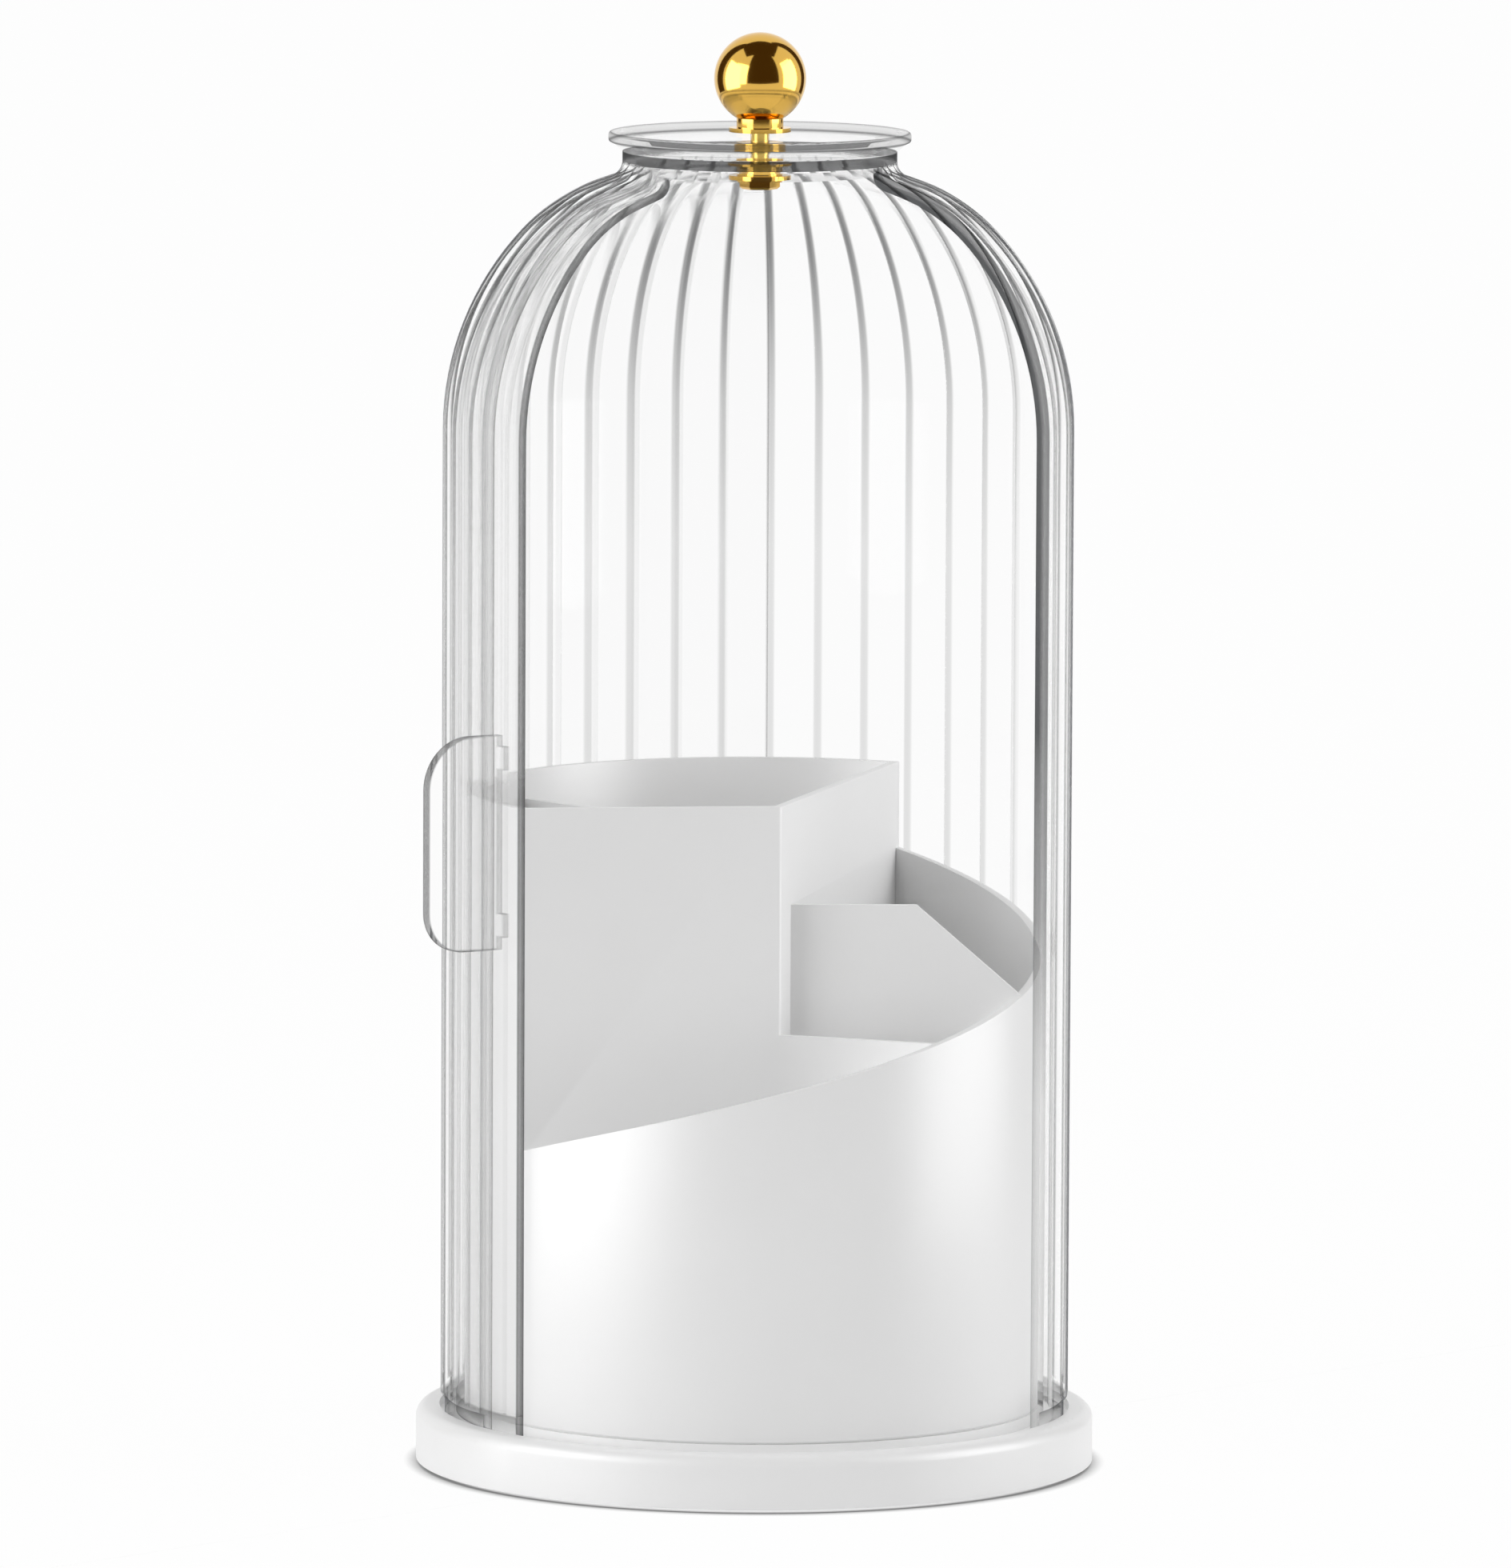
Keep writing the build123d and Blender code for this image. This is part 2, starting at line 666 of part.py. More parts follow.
with BuildPart() as knob_ball:
    with Locations((0, 0, ball_knob_centre)):
        Sphere(ball_knob_radius)
    split(bisect_by=Plane.XY.offset(collar_top), keep=Keep.TOP)
    with BuildSketch(Plane.XY.offset(collar_top)):
        Circle(stud_radius + fit_clearance)
    extrude(amount=stud_into_ball + fit_clearance, mode=Mode.SUBTRACT)
knob_ball.part.label = "knob_ball"
export_step(knob_ball.part, "parts/knob_ball.step")
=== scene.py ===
"""A rotating makeup brush holder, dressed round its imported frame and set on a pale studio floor."""

import math

import bpy
from mathutils import Matrix, Vector


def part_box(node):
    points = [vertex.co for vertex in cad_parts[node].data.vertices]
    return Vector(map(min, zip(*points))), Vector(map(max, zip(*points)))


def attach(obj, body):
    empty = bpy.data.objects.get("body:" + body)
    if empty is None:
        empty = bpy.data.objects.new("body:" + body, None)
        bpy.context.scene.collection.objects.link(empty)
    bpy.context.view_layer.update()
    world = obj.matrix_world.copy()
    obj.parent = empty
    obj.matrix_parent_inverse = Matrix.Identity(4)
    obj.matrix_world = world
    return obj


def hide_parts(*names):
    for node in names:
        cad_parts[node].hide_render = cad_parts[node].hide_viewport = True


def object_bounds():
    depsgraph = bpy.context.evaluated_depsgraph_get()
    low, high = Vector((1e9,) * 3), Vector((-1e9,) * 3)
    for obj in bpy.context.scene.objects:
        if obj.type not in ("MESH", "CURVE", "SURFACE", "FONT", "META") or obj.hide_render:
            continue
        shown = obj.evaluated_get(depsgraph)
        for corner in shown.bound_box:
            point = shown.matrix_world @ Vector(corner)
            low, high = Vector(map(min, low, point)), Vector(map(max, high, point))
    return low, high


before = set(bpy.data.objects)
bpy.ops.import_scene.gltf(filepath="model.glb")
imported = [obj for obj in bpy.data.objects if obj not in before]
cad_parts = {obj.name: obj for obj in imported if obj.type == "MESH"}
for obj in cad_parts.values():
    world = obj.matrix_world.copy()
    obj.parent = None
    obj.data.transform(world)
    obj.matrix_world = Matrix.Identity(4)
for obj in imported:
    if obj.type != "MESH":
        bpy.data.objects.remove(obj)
cad_low, cad_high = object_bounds()
MM = 0.001

# The foot plate is a pale moulded disc that stays still on the table, under six rubber pads.
# It is injection-moulded ABS with a fine spark-eroded grain, and the pads are matt black rubber
# pressed into its pockets. Only the dark gap round its edge shows.
DRIFT_MM = 30
GLOSS_SPREAD = 0.2
GRAIN_STRENGTH = 0.4


def linear(hex_colour):
    """An sRGB hex colour as a linear RGBA tuple."""
    parts = [int(hex_colour[i : i + 2], 16) / 255 for i in (1, 3, 5)]
    return tuple(c / 12.92 if c <= 0.04045 else ((c + 0.055) / 1.055) ** 2.4 for c in parts) + (1.0,)


def add_node(material, kind, settings=None, links=None):
    """Adds a node to a material or world, sets its fields and inputs, and links its inputs to outputs."""
    node = material.node_tree.nodes.new(kind)
    for key, value in (settings or {}).items():
        if isinstance(key, str) and hasattr(node, key):
            setattr(node, key, value)
        else:
            node.inputs[key].default_value = value
    for key, output in (links or {}).items():
        material.node_tree.links.new(output, node.inputs[key])
    return node


def new_material(name):
    """An empty node material."""
    material = bpy.data.materials.new(name)
    material.use_nodes = True
    material.node_tree.nodes.clear()
    return material


def grained(name, colour, shade, roughness, grain_mm, depth_mm, **shader_inputs):
    """Moulded or rubbed finish: a fine grain in the bump and a slight drift in colour and gloss.

    The real grain is a few hundredths of a millimetre, so it is drawn at grain_mm to show."""
    material = new_material(name)
    place = add_node(material, "ShaderNodeTexCoord").outputs["Object"]
    grain = add_node(
        material, "ShaderNodeTexNoise", {"Scale": 1 / (grain_mm * MM), "Detail": 2.0}, {"Vector": place}
    )
    drift = add_node(
        material, "ShaderNodeTexNoise", {"Scale": 1 / (DRIFT_MM * MM), "Detail": 1.0}, {"Vector": place}
    )
    tint = add_node(
        material,
        "ShaderNodeMix",
        {"data_type": "RGBA", 6: linear(shade), 7: linear(colour)},
        {0: drift.outputs["Fac"]},
    )
    gloss = add_node(
        material,
        "ShaderNodeMapRange",
        {"To Min": roughness * (1 - GLOSS_SPREAD), "To Max": roughness * (1 + GLOSS_SPREAD)},
        {"Value": grain.outputs["Fac"]},
    )
    bump = add_node(
        material,
        "ShaderNodeBump",
        {"Strength": GRAIN_STRENGTH, "Distance": depth_mm * MM},
        {"Height": grain.outputs["Fac"]},
    )
    shader = add_node(
        material,
        "ShaderNodeBsdfPrincipled",
        shader_inputs,
        {"Base Color": tint.outputs[2], "Roughness": gloss.outputs["Result"], "Normal": bump.outputs["Normal"]},
    )
    add_node(material, "ShaderNodeOutputMaterial", links={"Surface": shader.outputs["BSDF"]})
    return material


def dress(node, material):
    """Gives a CAD node its finish."""
    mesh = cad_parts[node].data
    mesh.materials.clear()
    mesh.materials.append(material)


# Pale ABS straight from a spark-eroded mould: a dull, even surface.
pale_abs = grained("pale_moulded_abs", "#d6d6d4", "#cfcfcd", roughness=0.45, grain_mm=0.6, depth_mm=0.02)
# Moulded rubber: nearly black, with no highlight.
pad_rubber = grained("matt_pad_rubber", "#2a2a2b", "#232324", roughness=0.8, grain_mm=0.8, depth_mm=0.05)
dress("foot_plate", pale_abs)
dress("rubber_feet", pad_rubber)

# The ball race turns the holder: sixteen steel balls spaced by a flat nylon ring.
# The balls are polished bearing steel, and the ring is stamped from natural nylon sheet.
# The steel mirrors what is round it, and the nylon is a warm, waxy white.
bearing_steel = grained(
    "polished_bearing_steel", "#c4c6c9", "#b9bbbe", roughness=0.12, grain_mm=0.4, depth_mm=0.002, Metallic=1.0
)
natural_nylon = grained("natural_nylon", "#dddad0", "#d3d0c5", roughness=0.5, grain_mm=0.7, depth_mm=0.01)
dress("bearing_balls", bearing_steel)
dress("ball_cage", natural_nylon)

# The tray is the white turntable: a rounded rim, a flat deck and the groove the clear shells stand in.
# It is injection-moulded ABS, white and satin, so its edges roll off in soft light bands.
WELD = 0.00001
FLAT_ANGLE = 0.4


def deselect():
    """Nothing selected and nothing in edit mode."""
    if bpy.context.object and bpy.context.object.mode != "OBJECT":
        bpy.ops.object.mode_set(mode="OBJECT")
    bpy.ops.object.select_all(action="DESELECT")


def select_only(piece):
    """The piece alone selected, and active."""
    deselect()
    piece.select_set(True)
    bpy.context.view_layer.objects.active = piece


def smooth_piece(piece, angle):
    """Smooth shading that keeps the edges sharper than the angle."""
    select_only(piece)
    bpy.ops.object.shade_smooth_by_angle(angle=math.radians(angle))


def copy_of_node(node, name):
    """A welded copy of a CAD node's mesh, with its flat faces made whole again."""
    piece = bpy.data.objects.new(name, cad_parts[node].data.copy())
    bpy.context.scene.collection.objects.link(piece)
    select_only(piece)
    bpy.ops.object.mode_set(mode="EDIT")
    bpy.ops.mesh.select_all(action="SELECT")
    bpy.ops.mesh.customdata_custom_splitnormals_clear()
    bpy.ops.mesh.remove_doubles(threshold=WELD)
    bpy.ops.mesh.dissolve_limited(angle_limit=math.radians(FLAT_ANGLE))
    bpy.ops.object.mode_set(mode="OBJECT")
    return piece


def stand_for(piece, node, body, material):
    """The piece takes the node's place, body and slot."""
    piece.data.materials.clear()
    piece.data.materials.append(material)
    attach(piece, body)
    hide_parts(node)


white_abs = grained("white_satin_abs", "#f6f6f6", "#f2f2f2", roughness=0.36, grain_mm=0.5, depth_mm=0.004)
tray = copy_of_node("base_tray", "turntable_tray")
smooth_piece(tray, 35)
stand_for(tray, "base_tray", "housing", white_abs)

# The hub washer and screw hold the tray on its spindle, and three screws hold the drum from below.
# All are zinc-plated steel, turned and pressed, and hidden once the drum is on.
zinc_steel = grained(
    "zinc_plated_steel", "#b4b7bb", "#a7abb1", roughness=0.3, grain_mm=0.5, depth_mm=0.004, Metallic=1.0
)
for hidden in ("hub_washer", "hub_screw", "drum_screws"):
    dress(hidden, zinc_steel)

# The organiser drum is one white moulding: a tall box at the left and back, two lower wells and a
# rim that climbs round the front. It is the same satin ABS, with its rims eased in the mould.
RIM_EASE = 0.35 * MM
RIM_ANGLE = 40
drum = copy_of_node("organiser_drum", "organiser_drum_moulding")
select_only(drum)
easing = drum.modifiers.new("Bevel", "BEVEL")
easing.width = RIM_EASE
easing.segments = 2
easing.limit_method = "ANGLE"
easing.angle_limit = math.radians(RIM_ANGLE)
bpy.ops.object.modifier_apply(modifier=easing.name)
smooth_piece(drum, 35)
stand_for(drum, "organiser_drum", "housing", white_abs)

# The fixed shell is the clear fluted dome, open at the front and whole at the neck.
# It is injection-moulded polystyrene, glass-clear and thin, so it hardly bends what stands behind
# it. Its flutes, its cut edges, its neck rim and the walls seen edge-on read as grey lines, and that
# grey is painted shade, set in the mesh and the material.
DOME_RADIUS = 67.2
DOME_WALL = 2.9
SHOULDER_HEIGHT = 222.0
SHOULDER_ARC = 62.0
SHOULDER_TURN = 43.0
SHOULDER_STEPS = 16
CROWN_ARC = 41.0
CROWN_STEPS = 10
NECK_RADIUS = 29.2
NECK_SHELF = 4.4
NECK_FILLET = 3.5
NECK_STEPS = 8
NECK_PLATE = 2.2
STUD_BORE = 2.05
STRAIGHT_ROWS = (40, 80, 120, 160, 190)
OPENING_RIGHT = -24.0
OPENING_LEFT = 210.0
FLUTES = 40
FLUTE_FIRST = 87.7
FLUTE_DEPTH = 0.75
FLUTE_HALF_WIDTH = 1.1
FLUTE_SIDES = (-1.25, -1, -0.6, -0.2, 0.2, 0.6, 1, 1.25)
FLUTE_FOOT = 15.2
FLUTE_RUNOUT = 4.5
LAND_SHARES = (0.42, 0.5, 0.58)
LAND_LEAST_GAP = 4
LAST_LAND_SHARE = 0.72
EDGE_MARGIN = 1.2
EDGE_STRIP = 0.45
FOOT_LIP = 4.0
# Painted shade on the foot's lowest row and along its lip step.
FOOT_SHADE = 0.8
FLUTE_SOFT = 0.5
# The flutes' painted shade is full at the neck and falls to this share low down, between these heights.
FLUTE_LOW_SHADE = 0.42
FLUTE_FADE = (195, 262)
# The cut ends' painted shade rises between these heights: lighter beside the drum, standing in for its white seen
# through them, and full above it. Their outer side takes less.
DRUM_FADE = (95, 130)
OUTER_END_SHADE = 0.9
# How far the edge-on painted grey reaches on inner walls and in flutes.
INNER_LINE = 0.25
FLUTE_LINE = 0.1
FRONT_STEPS = 60
NEAR = 0.01
SEAM = 0.000004
# Polystyrene's own index is 1.59. Walls this thin and even hardly bend the view through them, so the
# index is matched down, and it fades out towards a glance.
CLEAR_IOR = 1.1
GLANCE_FROM = 0.3
GLANCE_TO = 0.7
GLANCE_MOST = 0.95
LAMP_PASS = 0.97


def arc_points(centre, radius, start, end, steps):
    """Points along an arc, in degrees, without its first one."""
    points = []
    for step in range(1, steps + 1):
        turn = math.radians(start + (end - start) * step / steps)
        points.append((centre[0] + radius * math.cos(turn), centre[1] + radius * math.sin(turn)))
    return points


def dome_line(inset, foot, top):
    """The dome's section line, moved in by inset, from the foot to the neck, in millimetres."""
    low = (DOME_RADIUS - SHOULDER_ARC, SHOULDER_HEIGHT)
    reach = SHOULDER_ARC - CROWN_ARC
    turn = math.radians(SHOULDER_TURN)
    high = (low[0] + reach * math.cos(turn), low[1] + reach * math.sin(turn))
    crown_end = math.degrees(math.acos((NECK_RADIUS + NECK_SHELF - high[0]) / CROWN_ARC))
    slope = 1 / math.tan(math.radians(crown_end))
    heights = (foot, foot + EDGE_STRIP, foot + FOOT_LIP, foot + FOOT_LIP + EDGE_STRIP, FLUTE_FOOT, FLUTE_FOOT + 1)
    line = [(DOME_RADIUS - inset, z) for z in heights + STRAIGHT_ROWS + (SHOULDER_HEIGHT,)]
    line += arc_points(low, SHOULDER_ARC - inset, 0, SHOULDER_TURN, SHOULDER_STEPS)
    line += arc_points(high, CROWN_ARC - inset, SHOULDER_TURN, crown_end, CROWN_STEPS)
    neck_x = NECK_RADIUS - inset
    corner = Vector((neck_x, line[-1][1] + (line[-1][0] - neck_x) * slope))
    along = Vector((-1, slope)).normalized()
    cut = NECK_FILLET * math.tan(math.radians(crown_end) / 2)
    first, last = corner - along * cut, corner + Vector((0, cut))
    centre = last + Vector((NECK_FILLET, 0))
    start = math.degrees(math.atan2(first.y - centre.y, first.x - centre.x)) % 360
    line.append(tuple(first))
    line += arc_points(centre, NECK_FILLET, start, 180, NECK_STEPS)
    return line + [(neck_x, top - EDGE_STRIP), (neck_x, top)]


def spun_section(name, section, start, span, steps):
    """A closed section line, spun about Z towards greater azimuths into a wall open at both ends."""
    deselect()
    bpy.ops.mesh.primitive_circle_add(vertices=len(section), radius=MM, fill_type="NOTHING")
    piece = bpy.context.object
    piece.name = name
    bpy.ops.object.mode_set(mode="EDIT")
    bpy.ops.mesh.select_all(action="SELECT")
    bpy.ops.mesh.spin(steps=steps, angle=math.radians(span), center=(0, 0, 0), axis=(0, 0, 1))
    bpy.ops.object.mode_set(mode="OBJECT")
    for vertex in piece.data.vertices:
        radius, height = section[vertex.index % len(section)]
        turn = math.radians(start + span * (vertex.index // len(section)) / steps)
        vertex.co = (radius * MM * math.cos(turn), radius * MM * math.sin(turn), height * MM)
    return piece


def wall_columns(start, end):
    """The wall's columns: an azimuth, millimetres to one side of it, and how deep in a flute it lies."""
    step = 360 / FLUTES
    places = [FLUTE_FIRST + step * k for k in range(-FLUTES, FLUTES)]
    flutes = [a for a in places if start + EDGE_MARGIN < a < end - EDGE_MARGIN]
    columns = [(start, 0.0, 0.0), (start, EDGE_STRIP, 0.0)]
    before = start
    for flute in flutes:
        gap = flute - before
        columns += [(before + gap * share, 0.0, 0.0) for share in LAND_SHARES if gap > LAND_LEAST_GAP]
        columns += [(flute, FLUTE_HALF_WIDTH * side, max(1 - abs(side), 0.0)) for side in FLUTE_SIDES]
        before = flute
    columns.append((before + (end - before) * LAST_LAND_SHARE, 0.0, 0.0))
    return columns + [(end, -EDGE_STRIP, 0.0), (end, 0.0, 0.0)]


def ease(value, low, high):
    """0 below low, 1 above high, and a soft step between them."""
    share = min(max((value - low) / (high - low), 0), 1)
    return share * share * (3 - 2 * share)


def shading(piece):
    """The piece's two painted-shade attributes: how dark it is painted, and how far it may be painted grey seen
    edge-on.
    """
    for name in ("painted_edge_shade", "edge_line"):
        piece.data.attributes.new(name, "FLOAT", "POINT")
    return [piece.data.attributes[name].data for name in ("painted_edge_shade", "edge_line")]


def end_darkness(end_shade, height, is_outer):
    """How dark a cut end is painted, as shade, at a height: its own value beside the drum and above it, less
    outside.
    """
    dark = end_shade[0] + (end_shade[1] - end_shade[0]) * ease(height, *DRUM_FADE)
    return dark * (OUTER_END_SHADE if is_outer else 1.0)


def close_end(piece, count, place, wall_rows, end_shade):
    """Bridges a wall's outer and inner lines at one of its ends, and paints shade on the face's middle."""
    known = len(piece.data.vertices)
    for vertex in piece.data.vertices:
        vertex.select = False
    for face in piece.data.polygons:
        face.select = False
    for edge in piece.data.edges:
        rows = [index % count for index in edge.vertices]
        at_end = all(index // count == place for index in edge.vertices)
        outer_line = max(rows) < wall_rows
        inner_line = min(rows) >= count - wall_rows
        edge.select = at_end and (outer_line or inner_line)
    bpy.ops.object.mode_set(mode="EDIT")
    bpy.ops.mesh.bridge_edge_loops(number_cuts=2, interpolation="LINEAR")
    bpy.ops.object.mode_set(mode="OBJECT")
    shade = piece.data.attributes["painted_edge_shade"].data
    for edge in piece.data.edges:
        old, new = sorted(edge.vertices)
        if old < known <= new:
            height = piece.data.vertices[new].co.z / MM
            shade[new].value = end_darkness(end_shade, height, old % count < wall_rows)


def close_seams(piece):
    """Merges a spun piece's doubles and turns its faces outwards."""
    select_only(piece)
    bpy.ops.object.mode_set(mode="EDIT")
    bpy.ops.mesh.select_all(action="SELECT")
    bpy.ops.mesh.remove_doubles(threshold=SEAM)
    bpy.ops.mesh.normals_make_consistent(inside=False)
    bpy.ops.object.mode_set(mode="OBJECT")


def fluted_shell(name, inset, wall, start, end, foot, top, plate, bore, foot_step, darkness, end_shades):
    """A fluted wall with a whole disc at its neck, as one closed mesh in metres.

    Its attributes say how dark its flutes, rims and cut edges are painted, as shade, and, in edge_line,
    how far the wall may be painted grey when it is seen edge-on. darkness gives that painted shade for the
    flutes, the plate's rim and the edge-on wall. Each end shade gives the cut end's painted shade beside
    the drum and above it, and the power that darkens its borders."""
    flute_shade, rim_shade, line_shade = darkness
    outer = dome_line(inset, foot, top - plate)
    rim = NECK_RADIUS - inset
    section = outer + [(rim, top), (rim - EDGE_STRIP, top), (bore, top), (bore, top - plate)]
    section += dome_line(inset + wall, foot, top - plate)[::-1]
    columns = wall_columns(start, end)
    piece = spun_section(name, section, start, end - start, len(columns) - 1)
    count, last = len(section), len(columns) - 1
    shade, line = shading(piece)
    for vertex in piece.data.vertices:
        row, place = vertex.index % count, vertex.index // count
        radius, height = section[row]
        azimuth, aside, share = columns[place]
        is_outer = row < len(outer)
        runout = ease(height, top - plate - FLUTE_RUNOUT, top - plate - 1)
        spread = radius + (DOME_RADIUS - radius) * runout if is_outer else DOME_RADIUS
        turn = math.radians(azimuth) + aside / spread
        in_flute = share > 0 or abs(aside) > EDGE_STRIP
        dark = 0.0
        if is_outer and height <= foot + FOOT_LIP:
            radius -= foot_step
        if is_outer and share and FLUTE_FOOT < height < top - plate - 1:
            ahead, behind = section[row + 1], section[row - 1]
            slope = Vector((ahead[0] - behind[0], ahead[1] - behind[1])).normalized()
            depth = FLUTE_DEPTH * share * (1 - runout)
            radius -= slope.y * depth
            height += slope.x * depth
            # Painted shade in the flutes, darkest at the neck and fading down the wall.
            fade = FLUTE_LOW_SHADE + (1 - FLUTE_LOW_SHADE) * ease(height, *FLUTE_FADE)
            dark = ease(share, 0.0, FLUTE_SOFT) * flute_shade * fade
        # The neck plate's rim is painted dark, as shade.
        if row in (len(outer) - 1, len(outer)):
            dark = rim_shade
        # Painted shade on the foot's lowest row and along its lip step.
        if row == 0 or (is_outer and abs(height - foot - FOOT_LIP) < NEAR):
            dark = FOOT_SHADE
        # The cut ends' painted shade, with darker borders.
        if place in (0, last) and height < top - plate - 1:
            end_shade = end_shades[min(place, 1)]
            dark = end_darkness(end_shade, height, is_outer) ** end_shade[2]
        vertex.co = (radius * MM * math.cos(turn), radius * MM * math.sin(turn), height * MM)
        shade[vertex.index].value = dark
        # How far the wall may be painted grey edge-on: most on the outer wall, little in flutes.
        if height < top - plate + NEAR and radius > rim - wall - NEAR:
            line[vertex.index].value = line_shade * (FLUTE_LINE if in_flute else 1.0 if is_outer else INNER_LINE)
    plate_ring = [(rim, top - plate), (rim, top), (rim - EDGE_STRIP, top), (bore, top), (bore, top - plate)]
    plate_ring += [(rim - wall * share, top - plate) for share in (1, 2 / 3, 1 / 3)]
    bpy.context.tool_settings.mesh_select_mode = (False, True, False)
    close_end(piece, count, 0, len(outer), end_shades[0])
    close_end(piece, count, last, len(outer), end_shades[1])
    front = spun_section(name + "_front", plate_ring, end, 360 - (end - start), FRONT_STEPS)
    shade = shading(front)[0]
    # The front ring's plate rim is painted dark like the rest of the rim.
    for vertex in front.data.vertices:
        shade[vertex.index].value = rim_shade if vertex.index % len(plate_ring) < 2 else 0.0
    deselect()
    front.select_set(True)
    piece.select_set(True)
    bpy.context.view_layer.objects.active = piece
    bpy.ops.object.join()
    close_seams(piece)
    return piece


def clear_styrene(name, clean, dark, painted_edge_on_grey, line_start, line_full):
    """Clear styrene with painted shade: grey in its flutes and along its rims and cut edges,
    and a diffuse grey where a wall is seen edge-on.

    Seen square it refracts faintly, and at a glance it is a thin tinted film. Rays that carry
    light to the pieces inside pass straight through it."""
    material = new_material(name)
    # The painted shade in the mesh darkens the clear tint towards dark.
    shade = add_node(material, "ShaderNodeAttribute", {"attribute_name": "painted_edge_shade"}).outputs["Fac"]
    tint = add_node(
        material,
        "ShaderNodeMix",
        {"data_type": "RGBA", 6: linear(clean), 7: linear(dark)},
        {0: shade},
    ).outputs[2]
    clear = add_node(
        material,
        "ShaderNodeBsdfPrincipled",
        {"Transmission Weight": 1.0, "IOR": CLEAR_IOR, "Roughness": 0.0},
        {"Base Color": tint},
    )
    facing = add_node(material, "ShaderNodeLayerWeight", {"Blend": 0.5}).outputs["Facing"]
    film = add_node(material, "ShaderNodeGamma", {"Gamma": 0.5}, {"Color": tint})
    thin = add_node(material, "ShaderNodeBsdfTransparent", links={"Color": film.outputs["Color"]})
    glance = add_node(
        material,
        "ShaderNodeMapRange",
        {"From Min": GLANCE_FROM, "From Max": GLANCE_TO, "To Max": GLANCE_MOST, "interpolation_type": "SMOOTHSTEP"},
        {"Value": facing},
    )
    sheet = add_node(
        material,
        "ShaderNodeMixShader",
        links={0: glance.outputs["Result"], 1: clear.outputs["BSDF"], 2: thin.outputs["BSDF"]},
    )
    # Painted shade: a diffuse grey mixed in where a wall is seen edge-on, as far as edge_line allows.
    edge_on = add_node(
        material,
        "ShaderNodeMapRange",
        {"From Min": 1 - line_start, "From Max": 1 - line_full, "interpolation_type": "SMOOTHSTEP"},
        {"Value": facing},
    )
    wall = add_node(material, "ShaderNodeAttribute", {"attribute_name": "edge_line"}).outputs["Fac"]
    line = add_node(
        material, "ShaderNodeMath", {"operation": "MULTIPLY"}, {0: edge_on.outputs["Result"], 1: wall}
    )
    grey = add_node(material, "ShaderNodeBsdfDiffuse", {"Color": linear(painted_edge_on_grey)})
    body = add_node(
        material,
        "ShaderNodeMixShader",
        links={0: line.outputs[0], 1: sheet.outputs["Shader"], 2: grey.outputs["BSDF"]},
    )
    path = add_node(material, "ShaderNodeLightPath")
    lamp_ray = add_node(
        material,
        "ShaderNodeMath",
        {"operation": "MAXIMUM"},
        {0: path.outputs["Is Shadow Ray"], 1: path.outputs["Is Diffuse Ray"]},
    )
    passing = add_node(material, "ShaderNodeBsdfTransparent", {"Color": (LAMP_PASS, LAMP_PASS, LAMP_PASS, 1)})
    both = add_node(
        material,
        "ShaderNodeMixShader",
        links={0: lamp_ray.outputs[0], 1: body.outputs["Shader"], 2: passing.outputs["BSDF"]},
    )
    add_node(material, "ShaderNodeOutputMaterial", links={"Surface": both.outputs["Shader"]})
    return material


clear_wall = clear_styrene(
    "clear_polystyrene", "#fdfdfd", "#1e1f20", painted_edge_on_grey="#77797c", line_start=0.2, line_full=0.04
)
shell_low, shell_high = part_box("fixed_shell")
shell = fluted_shell(
    "fluted_dome",
    inset=0,
    wall=DOME_WALL,
    start=OPENING_RIGHT,
    end=OPENING_LEFT,
    foot=shell_low.z / MM,
    top=shell_high.z / MM,
    plate=NECK_PLATE,
    bore=STUD_BORE,
    foot_step=0.9,
    darkness=(0.95, 0.96, 1.0),
    end_shades=((0.3, 1.0, 0.5), (0.12, 0.14, 0.15)),
)
smooth_piece(shell, 50)
stand_for(shell, "fixed_shell", "housing", clear_wall)

# The door is a slice of the same dome, one clearance smaller, hung from its own disc under the neck.
# It is the same clear moulding, sawn out and flame-polished. Its two cut edges show as thin grey
# lines of painted shade, dark at the leading edge and faint at the rear, and its flutes are painted
# fainter than the dome's.
DOOR_INSET = 3.3
DOOR_WALL = 1.8
DOOR_PLATE = 1.8
DOOR_REAR = 88.0
DOOR_LEAD = 218.0
BUSH_BORE = 4.48
door_low, door_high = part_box("door_shell")
door = fluted_shell(
    "fluted_door",
    inset=DOOR_INSET,
    wall=DOOR_WALL,
    start=DOOR_REAR,
    end=DOOR_LEAD,
    foot=door_low.z / MM,
    top=door_high.z / MM,
    plate=DOOR_PLATE,
    bore=BUSH_BORE,
    foot_step=0.0,
    darkness=(0.3, 0.2, 0.15),
    end_shades=((0.2, 0.2, 0.5), (0.93, 0.95, 0.5)),
)
smooth_piece(door, 50)
stand_for(door, "door_shell", "door", clear_wall)

# The handle is a flat D-shaped fin of clear styrene, bonded to the door by two tabs.
# It is cut from sheet and flame-polished, so its rim is round. The grey line along its rim is painted
# shade, fainter where the fin is bonded to the door.
HANDLE_AZIMUTH = 211.6
HANDLE_STRIP = 0.4
